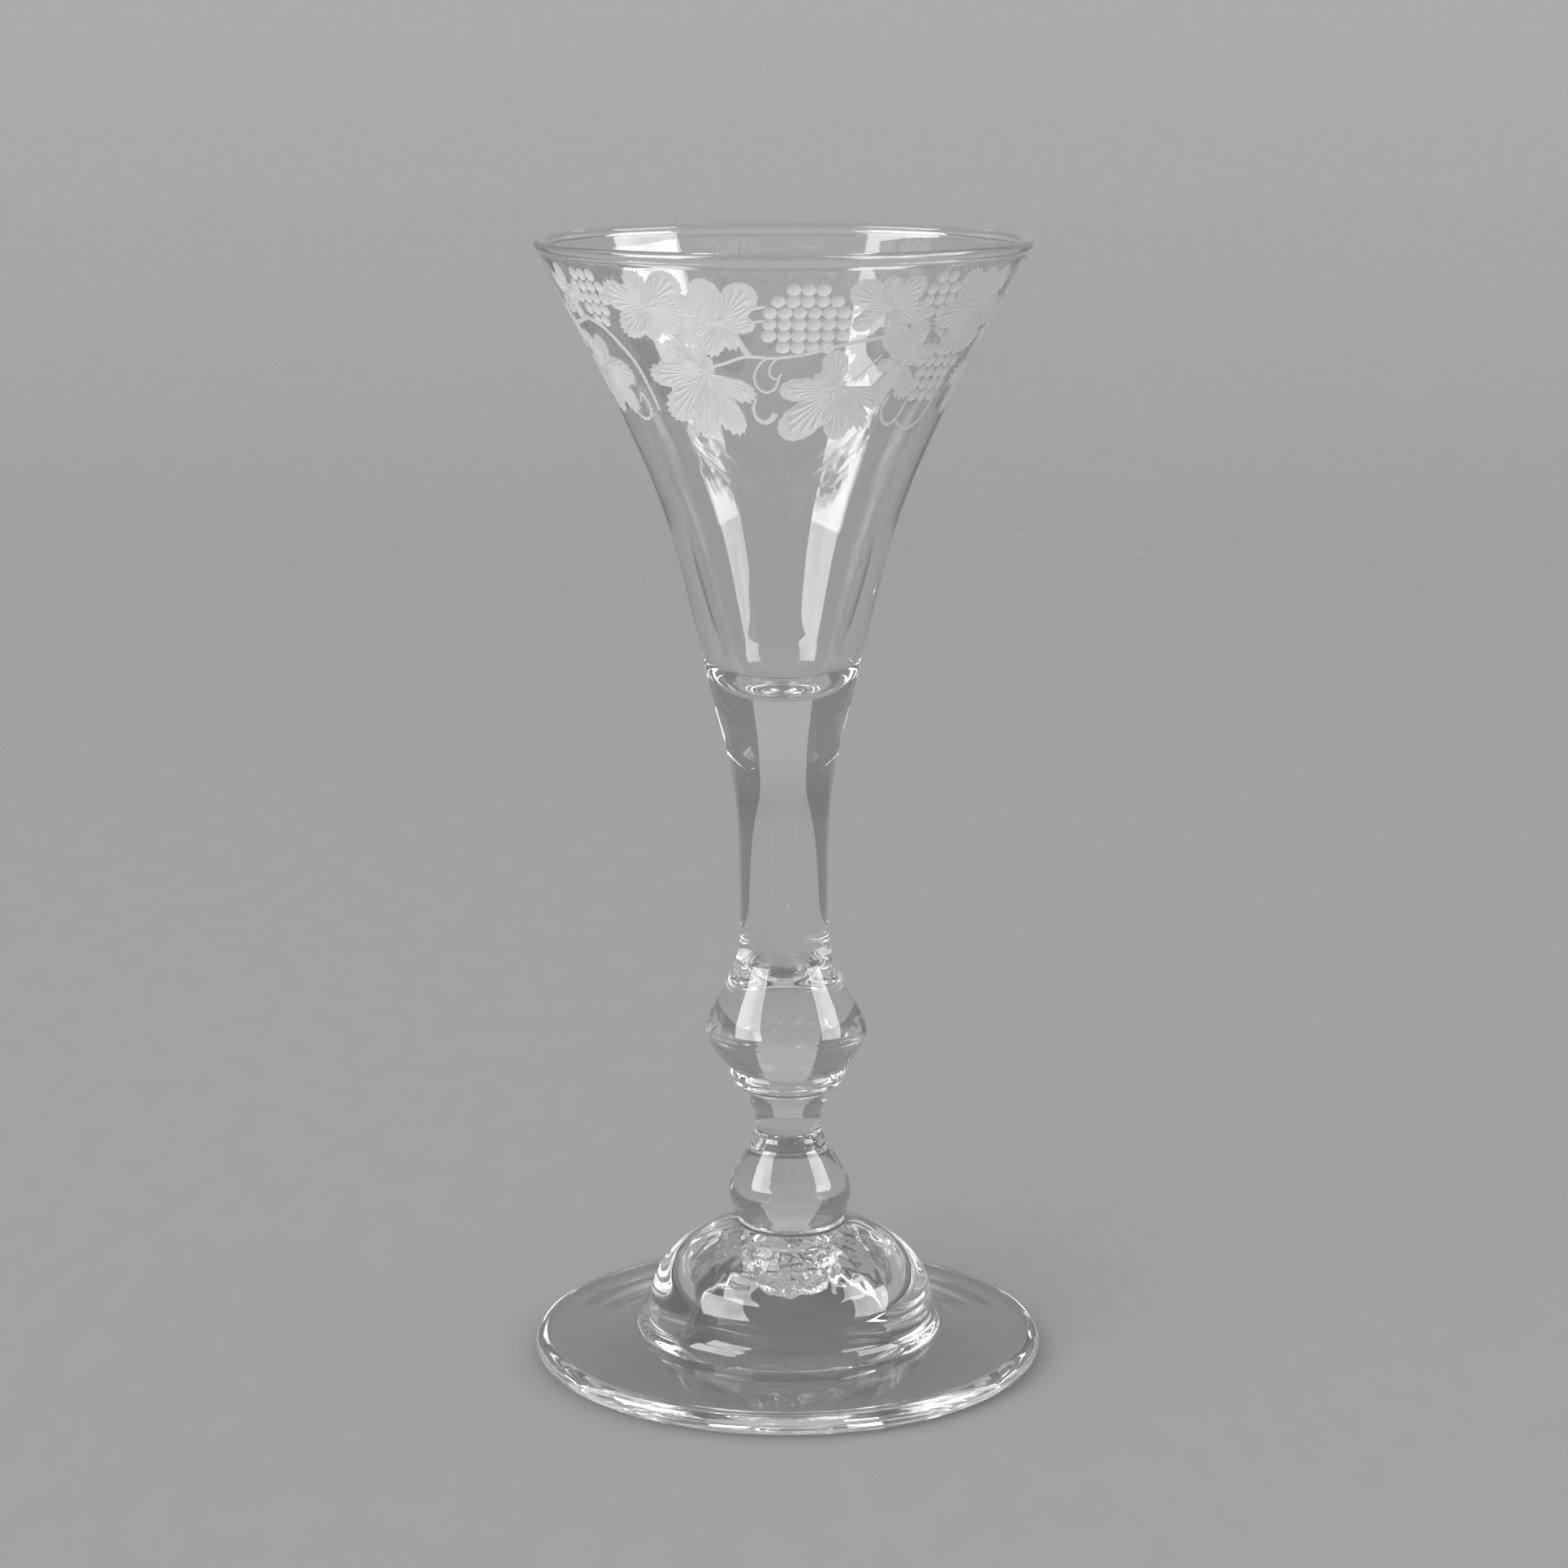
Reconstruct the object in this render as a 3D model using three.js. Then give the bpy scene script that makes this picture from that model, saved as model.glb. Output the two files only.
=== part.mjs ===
// Baluster wine glass: a drawn trumpet bowl on a solid inverted-baluster stem and a domed foot.
// Millimetres, +Z up. The origin is on the axis, in the plane that the foot stands on.
import * as THREE from "three";

// Foot: a spreading brim round a hollow dome.
const FOOT_RADIUS = 39.9;
const FOOT_EDGE_THICKNESS = 3.9;
const FOOT_EDGE_ROUNDING = 2.8;
const STANDING_RING_WIDTH = 1.6;
const BRIM_ROOT_RADIUS = 25.8;
const BRIM_ROOT_Z = 4.95;
const BRIM_ROOT_THICKNESS = 3.4;
const DOME_RADIUS = 22.2;
const DOME_SPRING_Z = 8.5;
const DOME_RISE = 13.6;
const DOME_TOP_Z = 20.7;
const DOME_WALL = 6.5;
const DOME_CROWN_THICKNESS = 4;
const HOLLOW_LIP_WIDTH = 6.5;

// Pontil boss: the gob left under the crown of the dome, with a broken face.
const BOSS_RADIUS = 7;
const BOSS_BULGE = 0.8;
const BOSS_HEIGHT = 7.7;
const SCAR_RADIUS = 4.6;
const SCAR_DEPTH = 1.2;

// Stem pieces, from the foot up: the height of each, and its radius where it
// swells most or, in the neck, where it is slimmest.
const FOOT_COLLAR_HEIGHT = 1.2;
const FOOT_COLLAR_RADIUS = 8.4;
const LOWER_KNOP_HEIGHT = 12.5;
const LOWER_KNOP_RADIUS = 9.6;
const NECK_HEIGHT = 8.1;
const NECK_RADIUS = 5.15;
const LOWER_COLLAR_HEIGHT = 1.9;
const LOWER_COLLAR_RADIUS = 8.35;
const UPPER_COLLAR_HEIGHT = 1.9;
const UPPER_COLLAR_RADIUS = 8.95;
const BALUSTER_HEIGHT = 16.7;
const BALUSTER_RADIUS = 12.55;

// Radius of the flat weld face between two pieces, from the foot up.
const FOOT_WELD_RADIUS = 8;
const KNOP_WELD_RADIUS = 5.8;
const NECK_WELD_RADIUS = 6.15;
const COLLAR_WELD_RADIUS = 8.15;
const BALUSTER_WELD_RADIUS = 8.6;
const BOWL_WELD_RADIUS = 7.9;

// Bowl: a solid drawn shank that opens into a trumpet, thick below and thin at the rim.
const BOWL_HEIGHT = 112;
const RIM_RADIUS = 37.5;
const RIM_WALL = 1.5;
const SHANK_RADIUS = 6.85;
const SHANK_WAIST_HEIGHT = 8;
const SHANK_WAIST_CORNER = 2;
const CAVITY_DEPTH = 69.2;
const CAVITY_FLOOR_ROUNDING = 6.2;
const CAVITY_FLOOR_WALL = 3.2;

// How many flat sides stand for a full turn, and how many steps the cavity's wall is drawn in.
const SIDES = 48;
const CAVITY_STEPS = 9;

const GLASS_COLOR = 0xc6cac4;

// Planes of the stack, each from the one below it.
const FOOT_COLLAR_Z = DOME_TOP_Z;
const LOWER_KNOP_Z = FOOT_COLLAR_Z + FOOT_COLLAR_HEIGHT;
const NECK_Z = LOWER_KNOP_Z + LOWER_KNOP_HEIGHT;
const LOWER_COLLAR_Z = NECK_Z + NECK_HEIGHT;
const UPPER_COLLAR_Z = LOWER_COLLAR_Z + LOWER_COLLAR_HEIGHT;
const BALUSTER_Z = UPPER_COLLAR_Z + UPPER_COLLAR_HEIGHT;
const BOWL_Z = BALUSTER_Z + BALUSTER_HEIGHT;
const RIM_Z = BOWL_Z + BOWL_HEIGHT;
const CROWN_Z = DOME_TOP_Z - DOME_CROWN_THICKNESS;

const { degToRad, lerp, mapLinear, radToDeg } = THREE.MathUtils;

const at = (radius, z) => new THREE.Vector2(radius, z);

// A smooth curve through the points, with the given number of steps from one to the next.
function smooth(points, steps) {
  return new THREE.SplineCurve(points).getPoints((points.length - 1) * steps);
}

// Part of an upright ellipse, between two angles in degrees.
function arc(centre, halfWidth, halfHeight, from, to, steps) {
  return Array.from({ length: steps + 1 }, (_, i) => {
    const angle = degToRad(lerp(from, to, i / steps));
    return at(centre.x + halfWidth * Math.cos(angle), centre.y + halfHeight * Math.sin(angle));
  });
}

// The angle in degrees at which an ellipse of this half height has risen this far.
function angleOfRise(rise, halfHeight) {
  return radToDeg(Math.asin(rise / halfHeight));
}

// A curve that leaves start and reaches end along the lines to a corner.
function cove(start, corner, end, steps) {
  return new THREE.QuadraticBezierCurve(start, corner, end).getPoints(steps);
}

// The radius at which an outline that only climbs passes a height.
function radiusAtHeight(outline, z) {
  const above = Math.max(1, outline.findIndex((point) => point.y >= z));
  const low = outline[above - 1];
  const high = outline[above];
  return mapLinear(z, low.y, high.y, low.x, high.x);
}

// Joins runs of points and drops each point that repeats the one before it.
function outlineOf(...runs) {
  return runs.flat().filter((point, i, all) => i === 0 || point.distanceTo(all[i - 1]) > 1e-6);
}

// One closed glass body, turned from an outline that starts and ends on the axis.
function turned(name, outline) {
  const geometry = new THREE.LatheGeometry(outline, SIDES).rotateX(Math.PI / 2);
  const material = new THREE.MeshStandardMaterial({ color: GLASS_COLOR, roughness: 0.05, metalness: 0 });
  const mesh = new THREE.Mesh(geometry, material);
  mesh.name = name;
  return mesh;
}

// A solid stem piece between two flat weld faces. Each side point is the share of the way
// out to the swell, and the share of the height.
function stemPiece({ name, z, height, lowRadius, highRadius, swell, side }) {
  const middle = side.map(([share, rise]) => {
    const straight = lerp(lowRadius, highRadius, rise);
    return at(lerp(straight, swell, share), z + height * rise);
  });
  const skin = smooth([at(lowRadius, z), ...middle, at(highRadius, z + height)], 1);
  return turned(name, outlineOf([at(0, z)], skin, [at(0, z + height)]));
}

function foot() {
  const centre = at(0, DOME_SPRING_Z);
  const hollowRadius = DOME_RADIUS - DOME_WALL;
  const ceilingRadius = BOSS_RADIUS + BOSS_BULGE;
  const ceilingRise = CROWN_Z - DOME_SPRING_Z;
  const hollowRise = ceilingRise / Math.sqrt(1 - (ceilingRadius / hollowRadius) ** 2);
  const hollow = arc(centre, hollowRadius, hollowRise, angleOfRise(ceilingRise, hollowRise), 0, 5);

  const undersideZ = BRIM_ROOT_Z - BRIM_ROOT_THICKNESS;
  const underside = at(hollowRadius + HOLLOW_LIP_WIDTH, undersideZ);
  const mouth = cove(hollow.at(-1), at(hollowRadius, undersideZ), underside, 4);

  const edgeHalf = FOOT_EDGE_THICKNESS / 2;
  const edgeCentre = at(FOOT_RADIUS - FOOT_EDGE_ROUNDING, edgeHalf);
  const standingRing = [at(edgeCentre.x - STANDING_RING_WIDTH, 0)];
  const rounded = arc(edgeCentre, FOOT_EDGE_ROUNDING, edgeHalf, -90, 90, 8);

  const domeTopAngle = angleOfRise(DOME_TOP_Z - DOME_SPRING_Z, DOME_RISE);
  const dome = arc(centre, DOME_RADIUS, DOME_RISE, 0, domeTopAngle, 7);
  const brimRoot = at(BRIM_ROOT_RADIUS, BRIM_ROOT_Z);
  const root = cove(brimRoot, at(DOME_RADIUS, BRIM_ROOT_Z), dome[0], 4);

  const ceiling = [at(0, CROWN_Z)];
  const top = [at(0, DOME_TOP_Z)];
  return turned("foot", outlineOf(ceiling, hollow, mouth, standingRing, rounded, root, dome, top));
}

function pontilBoss() {
  const scarZ = CROWN_Z - BOSS_HEIGHT;
  const scar = [at(0, scarZ + SCAR_DEPTH), at(SCAR_RADIUS, scarZ + SCAR_DEPTH / 2)];
  const lip = at(BOSS_RADIUS - BOSS_BULGE, scarZ);
  const bulge = at(BOSS_RADIUS + BOSS_BULGE, CROWN_Z - BOSS_HEIGHT / 2);
  const side = smooth([lip, bulge, at(BOSS_RADIUS, CROWN_Z)], 2);
  return turned("pontil_boss", outlineOf(scar, side, [at(0, CROWN_Z)]));
}

function footCollar() {
  return stemPiece({
    name: "foot_collar",
    z: FOOT_COLLAR_Z,
    height: FOOT_COLLAR_HEIGHT,
    lowRadius: FOOT_WELD_RADIUS,
    highRadius: FOOT_WELD_RADIUS,
    swell: FOOT_COLLAR_RADIUS,
    side: [[0.75, 0.2], [1, 0.45], [0.7, 0.8]],
  });
}

function lowerKnop() {
  return stemPiece({
    name: "lower_knop",
    z: LOWER_KNOP_Z,
    height: LOWER_KNOP_HEIGHT,
    lowRadius: FOOT_WELD_RADIUS,
    highRadius: KNOP_WELD_RADIUS,
    swell: LOWER_KNOP_RADIUS,
    side: [[0.43, 0.065], [0.78, 0.185], [1, 0.335], [0.89, 0.49], [0.645, 0.615], [0.335, 0.775],
      [0.07, 0.91]],
  });
}

function neck() {
  return stemPiece({
    name: "neck",
    z: NECK_Z,
    height: NECK_HEIGHT,
    lowRadius: KNOP_WELD_RADIUS,
    highRadius: NECK_WELD_RADIUS,
    swell: NECK_RADIUS,
    side: [[0.3, 0.075], [0.85, 0.2], [1, 0.35], [0.76, 0.57], [0.35, 0.7], [0.1, 0.82]],
  });
}

function lowerCollar() {
  return stemPiece({
    name: "lower_collar",
    z: LOWER_COLLAR_Z,
    height: LOWER_COLLAR_HEIGHT,
    lowRadius: NECK_WELD_RADIUS,
    highRadius: COLLAR_WELD_RADIUS,
    swell: LOWER_COLLAR_RADIUS,
    side: [[0.25, 0.2], [0.53, 0.47], [0.95, 0.78]],
  });
}

function upperCollar() {
  return stemPiece({
    name: "upper_collar",
    z: UPPER_COLLAR_Z,
    height: UPPER_COLLAR_HEIGHT,
    lowRadius: COLLAR_WELD_RADIUS,
    highRadius: BALUSTER_WELD_RADIUS,
    swell: UPPER_COLLAR_RADIUS,
    side: [[0.65, 0.25], [1, 0.55], [0.6, 0.85]],
  });
}

function balusterKnop() {
  return stemPiece({
    name: "baluster_knop",
    z: BALUSTER_Z,
    height: BALUSTER_HEIGHT,
    lowRadius: BALUSTER_WELD_RADIUS,
    highRadius: BOWL_WELD_RADIUS,
    swell: BALUSTER_RADIUS,
    side: [[0.26, 0.055], [0.5, 0.115], [0.83, 0.235], [1, 0.355], [0.91, 0.465], [0.61, 0.635],
      [0.27, 0.82]],
  });
}

// The outside of the bowl above the waist of its shank. Each point is the share of the way
// out to the rim, and the share of the height.
const FLARE = [
  [0.01, 0.15], [0.05, 0.24], [0.126, 0.33], [0.21, 0.438], [0.3255, 0.574], [0.4415, 0.67],
  [0.59, 0.768], [0.76, 0.865],
];

function bowl() {
  const bead = RIM_WALL / 2;
  const rim = arc(at(RIM_RADIUS - bead, RIM_Z - bead), bead, bead, -45, 180, 5);
  const waist = at(SHANK_RADIUS, BOWL_Z + SHANK_WAIST_HEIGHT);
  const shankCorner = at(SHANK_RADIUS, BOWL_Z + SHANK_WAIST_CORNER);
  const shank = cove(at(BOWL_WELD_RADIUS, BOWL_Z), shankCorner, waist, 3);
  const flarePoints = FLARE.map(([out, up]) => at(lerp(waist.x, rim[0].x, out), lerp(waist.y, rim[0].y, up)));
  const flare = smooth([waist, ...flarePoints, rim[0]], 2);

  // The cavity follows the outside, less a wall that is thickest at its rounded floor.
  const floorZ = RIM_Z - CAVITY_DEPTH;
  const lip = rim.at(-1);
  const wallPoints = [];
  for (let step = 0; step < CAVITY_STEPS; step += 1) {
    const rise = step / CAVITY_STEPS;
    const z = lerp(floorZ + CAVITY_FLOOR_ROUNDING, lip.y, rise);
    const wall = lerp(RIM_WALL, CAVITY_FLOOR_WALL, (1 - rise) ** 2);
    wallPoints.push(at(radiusAtHeight(flare, z) - wall, z));
  }
  const [lowest, second] = wallPoints;
  const floorCorner = at(mapLinear(floorZ, lowest.y, second.y, lowest.x, second.x), floorZ);
  const floor = cove(lowest, floorCorner, at(0, floorZ), 4);
  const inside = [lip, ...wallPoints.reverse()];
  return turned("bowl", outlineOf([at(0, BOWL_Z)], shank, flare, rim, inside, floor));
}

const glass = new THREE.Group();
glass.add(foot(), pontilBoss(), footCollar(), lowerKnop(), neck(), lowerCollar(), upperCollar());
glass.add(balusterKnop(), bowl());

export default glass;
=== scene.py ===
# Baluster wine glass. Each turned piece of glass is drawn finely over its CAD node, a vine frieze is
# cut into the outside of the bowl, and a pale studio with two soft boxes lights it.
import math
import random

import bpy
import numpy as np
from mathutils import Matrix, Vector, kdtree, noise
from mathutils.geometry import delaunay_2d_cdt


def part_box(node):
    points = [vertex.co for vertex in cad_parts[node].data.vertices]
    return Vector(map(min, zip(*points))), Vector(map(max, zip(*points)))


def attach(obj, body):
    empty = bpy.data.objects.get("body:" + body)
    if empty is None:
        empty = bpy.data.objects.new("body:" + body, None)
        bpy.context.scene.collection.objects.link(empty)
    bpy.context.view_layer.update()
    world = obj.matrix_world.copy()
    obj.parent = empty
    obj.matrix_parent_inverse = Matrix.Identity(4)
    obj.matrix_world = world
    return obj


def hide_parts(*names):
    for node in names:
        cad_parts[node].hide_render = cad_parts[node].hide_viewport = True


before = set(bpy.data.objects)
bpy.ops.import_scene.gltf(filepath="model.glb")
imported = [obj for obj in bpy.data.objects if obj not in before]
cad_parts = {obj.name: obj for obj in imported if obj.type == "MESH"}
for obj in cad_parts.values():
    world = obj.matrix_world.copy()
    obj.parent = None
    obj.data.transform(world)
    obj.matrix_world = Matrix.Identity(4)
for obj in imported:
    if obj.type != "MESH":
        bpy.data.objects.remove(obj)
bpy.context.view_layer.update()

# The glass is drawn in millimetres, as on the CAD, and becomes metres when a mesh is made.
MM = 0.001

# How many sides stand for a full turn, and how many steps a curve takes between two of its points.
SIDES = 192
CURVE_STEPS = 8

# How near to each other points of an outline, and points of a mesh, count as one.
SAME_POINT = 1e-6
WELD_REACH = 0.0004

# Edges that turn by more degrees than this show as sharp.
SHARP_EDGE = 38

# Foot and pontil boss, beside what the frame gives.
FOOT_EDGE_THICKNESS = 3.9
FOOT_EDGE_ROUNDING = 2.8
STANDING_RING_WIDTH = 1.6
BRIM_ROOT_RADIUS = 25.8
BRIM_ROOT_Z = 4.95
BRIM_ROOT_THICKNESS = 3.4
DOME_RADIUS = 22.2
DOME_SPRING_Z = 8.5
DOME_RISE = 13.6
DOME_WALL = 6.5
HOLLOW_LIP_WIDTH = 6.5
BOSS_RADIUS = 7
SCAR_RADIUS = 4.6
SCAR_DEPTH = 1.2
SCAR_FLATTENING = 0.5
SCAR_STEPS = 13

# The broken scar. Ragged bites, coarse and fine, lie over rings that run round the boss. All of it
# fades within CALM_REACH of the weld.
SCAR_ROUGHNESS = 0.5
COARSE_SCALE = 0.6
COARSE_SHARE = 1.3
FINE_SCALE = 2.1
FINE_SHARE = 0.35
RING_DEPTH = 0.5
RING_PITCH = 1.5
RAGGED_SHARE = 0.25
CALM_REACH = 1.2
BITE_CORE_RADIUS = 2.5
BITE_LIFT = 0.8

# Ripple of the hollow: its strength by the boss and at the mouth, its scale, and how fast it sets in.
# The hollow's points lie outside the boss and at most a hair outside the hollow's ellipse.
CROWN_RIPPLE = (0.3, 0.05)
RIPPLE_SCALE = 0.55
RIPPLE_ONSET = 6
BOSS_CLEARANCE = 0.01
HOLLOW_LIMIT = 1.001

# Fractal noise: how layers fade, how much finer each one is, and how many there are.
SCAR_FRACTAL = (1.0, 2.2, 4)
RIPPLE_FRACTAL = (1.0, 2.1, 3)

# Radius of the flat weld face between two pieces, from the foot up.
WELD_RADII = [8, 8, 5.8, 6.15, 8.15, 8.6, 7.9]

# Stem pieces, from the foot up. Each side point is the share of the way out to the piece's widest
# or slimmest radius, and the share of its height.
STEM_SIDES = {
    "foot_collar": [(0.75, 0.2), (1, 0.45), (0.7, 0.8)],
    "lower_knop": [(0.43, 0.065), (0.78, 0.185), (1, 0.335), (0.89, 0.49), (0.645, 0.615),
                   (0.335, 0.775), (0.07, 0.91)],
    "neck": [(0.3, 0.075), (0.85, 0.2), (1, 0.35), (0.76, 0.57), (0.35, 0.7), (0.1, 0.82)],
    "lower_collar": [(0.25, 0.2), (0.53, 0.47), (0.95, 0.78)],
    "upper_collar": [(0.65, 0.25), (1, 0.55), (0.6, 0.85)],
    "baluster_knop": [(0.26, 0.055), (0.5, 0.115), (0.83, 0.235), (1, 0.355), (0.91, 0.465),
                      (0.61, 0.635), (0.27, 0.82)],
}
NECK_RADIUS = 5.15

# Tool marks round one piece: the share of its height, the depth, and the half width.
MARKED_PIECE = "baluster_knop"
TOOL_MARKS = [(0.345, 0.06, 0.17), (0.4, 0.04, 0.17)]
TOOL_MARK_STEPS = 24

# Bowl, beside what the frame gives. The rim's bead runs from BEAD_START to BEAD_END, in degrees, and the
# cavity's side ends CAVITY_BEAD_GAP below it. Each point of the flare is the share of the way out from
# the shank's waist to the rim, and the share of the way up.
RIM_WALL = 1.5
BEAD_HALF_WIDTH = 0.85
BEAD_HALF_HEIGHT = 0.85
BEAD_START = -52
BEAD_END = 196
BEAD_NECK_DEPTH = 0.1
BEAD_NECK_DROP = 1.95
SHANK_RADIUS = 6.85
SHANK_WAIST_HEIGHT = 8
SHANK_WAIST_CORNER = 2
CAVITY_DEPTH = 69.2
CAVITY_FLOOR_ROUNDING = 6.2
CAVITY_FLOOR_WALL = 3.2
CAVITY_STEPS = 64
CAVITY_BEAD_GAP = 0.4
FLARE = [(0.01, 0.15), (0.05, 0.24), (0.126, 0.33), (0.21, 0.438), (0.3255, 0.574), (0.4415, 0.67),
         (0.59, 0.768), (0.76, 0.865)]

# How far the glass's axis strays sideways, as (height, shift), because it was made by hand.
AXIS_WANDER = [(0, 0), (4, 0), (9, 0.6), (20, 0.62), (26, 0.38), (38, 0.1), (45, 0.05), (52, -0.2),
               (70, -0.55), (110, -0.8), (150, -0.82), (175, -0.62)]

# Trapped air: for each piece, how many bubbles, and the range of radius and of height they lie in.
SEEDS = {
    "lower_knop": (9, (1.0, 6.5), (23.2, 32.5)),
    "neck": (12, (3.2, 5.2), (34.6, 35.8)),
    "baluster_knop": (20, (5.0, 7.5), (60.8, 62.7)),
}
BOWL_SEEDS = [(16, (4.4, 7.1), (63.3, 64.8)), (14, (0.5, 5.6), (66, 102))]
SEED_SIZES = (0.05, 0.14)
SEED_STRETCHES = (1.2, 3.5)
SEED_FLATNESS = 0.8
SEED_SIDES = 8
SEED_LEVELS = 5


def span(node):
    """Radius, lowest and highest z of a turned CAD node."""
    low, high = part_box(node)
    return high.x / MM, low.z / MM, high.z / MM


FOOT_RADIUS, _, DOME_TOP_Z = span("foot")
BOSS_SWELL_RADIUS, SCAR_Z, CROWN_Z = span("pontil_boss")
RIM_RADIUS, BOWL_Z, RIM_Z = span("bowl")
CAVITY_FLOOR_Z = RIM_Z - CAVITY_DEPTH


# Curves. A point is (radius, z).

def lerp(a, b, t):
    return a + (b - a) * t


def line(start, end, steps):
    start, end = np.array(start, float), np.array(end, float)
    return [tuple(lerp(start, end, t)) for t in np.linspace(0, 1, steps + 1)]


def smooth(points, steps=CURVE_STEPS):
    """A Catmull-Rom curve through the points."""
    p = [np.array(point, float) for point in points]
    p = [p[0], *p, p[-1]]
    curve = []
    for p0, p1, p2, p3 in zip(p, p[1:], p[2:], p[3:]):
        v0, v1 = (p2 - p0) / 2, (p3 - p1) / 2
        cubed = 2 * p1 - 2 * p2 + v0 + v1
        squared = -3 * p1 + 3 * p2 - 2 * v0 - v1
        for t in np.arange(steps) / steps:
            curve.append(cubed * t**3 + squared * t**2 + v0 * t + p1)
    return [tuple(point) for point in curve] + [tuple(p[-1])]


def arc(centre, half_width, half_height, start, end, steps):
    """Part of an upright ellipse, between two angles in degrees."""
    angles = np.radians(np.linspace(start, end, steps + 1))
    return [(centre[0] + half_width * math.cos(a), centre[1] + half_height * math.sin(a)) for a in angles]


def cove(start, corner, end, steps):
    """A curve that leaves start and reaches end along the lines to a corner."""
    start, corner, end = (np.array(point, float) for point in (start, corner, end))
    return [tuple(lerp(lerp(start, corner, t), lerp(corner, end, t), t))
            for t in np.linspace(0, 1, steps + 1)]


def angle_of_rise(rise, half_height):
    return math.degrees(math.asin(rise / half_height))


def wander(z):
    heights, shifts = zip(*AXIS_WANDER)
    return float(np.interp(z, heights, shifts))


# Materials.

GLASS_IOR = 1.52
ENGRAVED_ROUGHNESS = (0.62, 0.85)


def new_material(name):
    material = bpy.data.materials.new(name)
    material.use_nodes = True
    return material, material.node_tree


def feed(tree, node, inputs):
    """Links some inputs of a shader node to sockets, and sets others to plain values."""
    for key, value in inputs.items():
        if isinstance(value, bpy.types.NodeSocket):
            tree.links.new(value, node.inputs[key])
        else:
            node.inputs[key].default_value = value


def add_node(tree, kind, inputs, **settings):
    """A new shader node. Its settings come first, because they decide which inputs it has."""
    node = tree.nodes.new(kind)
    for setting, value in settings.items():
        setattr(node, setting, value)
    feed(tree, node, inputs)
    return node


def node_math(tree, operation, first, second):
    return add_node(tree, "ShaderNodeMath", {0: first, 1: second}, operation=operation).outputs["Value"]


def map_range(tree, value, to_min, to_max, from_min=0, from_max=1):
    """A value carried from one range to another."""
    ends = {"From Min": from_min, "From Max": from_max, "To Min": to_min, "To Max": to_max}
    return add_node(tree, "ShaderNodeMapRange", {"Value": value, **ends}).outputs["Result"]


def before_any_floor(tree, path):
    """One for light that has met nothing but glass on its way to the eye, otherwise nought."""
    return node_math(tree, "LESS_THAN", path.outputs["Diffuse Depth"], 0.5)


def seen_in_glass(tree):
    """One for what the eye sees in or through glass, otherwise nought."""
    path = tree.nodes.new("ShaderNodeLightPath")
    mirrored, bent = path.outputs["Is Glossy Ray"], path.outputs["Is Transmission Ray"]
    either = node_math(tree, "MAXIMUM", mirrored, bent)
    return node_math(tree, "MULTIPLY", before_any_floor(tree, path), either)


def add_bump(tree, scale, stretch, strength, distance, detail=2.0):
    """Roughens the normal with noise in the object's own space, and returns the noise. The distance is
    in metres."""
    place = tree.nodes.new("ShaderNodeTexCoord").outputs["Object"]
    mapped = add_node(tree, "ShaderNodeMapping", {"Vector": place, "Scale": stretch}).outputs["Vector"]
    grain = add_node(tree, "ShaderNodeTexNoise", {"Vector": mapped, "Scale": scale, "Detail": detail})
    height = grain.outputs["Fac"]
    bump = add_node(tree, "ShaderNodeBump", {"Height": height, "Strength": strength, "Distance": distance})
    feed(tree, tree.nodes["Principled BSDF"], {"Normal": bump.outputs["Normal"]})
    return height


def glass_material(name, color, roughness, transmission=1.0):
    material, tree = new_material(name)
    feed(tree, tree.nodes["Principled BSDF"], {
        "Base Color": (*color, 1),
        "Roughness": roughness,
        "IOR": GLASS_IOR,
        "Transmission Weight": transmission,
    })
    return material, tree


def clear_glass():
    """Fire-polished glass, with the slight ripple of hand work."""
    material, tree = glass_material("clear_glass", color=(0.985, 0.985, 0.98), roughness=0.0)
    add_bump(tree, scale=160, stretch=(1, 1, 0.25), strength=0.25, distance=0.00005)
    return material


def engraved_glass():
    """Glass ground matt by small wheels, with the fine grain that they leave."""
    material, tree = glass_material("engraved_glass", color=(0.96, 0.96, 0.95), roughness=0.75,
                                    transmission=0.2)
    grain = add_bump(tree, scale=2600, stretch=(1, 1, 1), strength=0.5, distance=0.00006, detail=4.0)
    feed(tree, tree.nodes["Principled BSDF"], {"Roughness": map_range(tree, grain, *ENGRAVED_ROUGHNESS)})
    return material


def broken_glass():
    """The snapped face of the pontil scar."""
    material, tree = glass_material("broken_glass", color=(0.96, 0.97, 0.96), roughness=0.03)
    add_bump(tree, scale=900, stretch=(1, 1, 1), strength=0.6, distance=0.0002)
    return material


def weld_material():
    """The face where two pieces are one glass: light goes straight on."""
    material, tree = new_material("weld")
    tree.nodes.remove(tree.nodes["Principled BSDF"])
    through = tree.nodes.new("ShaderNodeBsdfTransparent")
    feed(tree, tree.nodes["Material Output"], {"Surface": through.outputs["BSDF"]})
    return material


CLEAR, ENGRAVED, BROKEN, WELD = clear_glass(), engraved_glass(), broken_glass(), weld_material()
GLASS_SLOTS = [CLEAR, WELD, ENGRAVED, BROKEN]


# Meshes.

def new_mesh(name, points, faces, materials):
    mesh = bpy.data.meshes.new(name)
    mesh.from_pydata(points, [], faces)
    for material in materials:
        mesh.materials.append(material)
    return mesh


def link_object(name, data):
    """Puts a mesh or a camera into the scene."""
    thing = bpy.data.objects.new(name, data)
    bpy.context.scene.collection.objects.link(thing)
    return thing


def point_tree(points):
    """Finds points by their place."""
    tree = kdtree.KDTree(len(points))
    for i, point in enumerate(points):
        tree.insert(point, i)
    tree.balance()
    return tree


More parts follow.
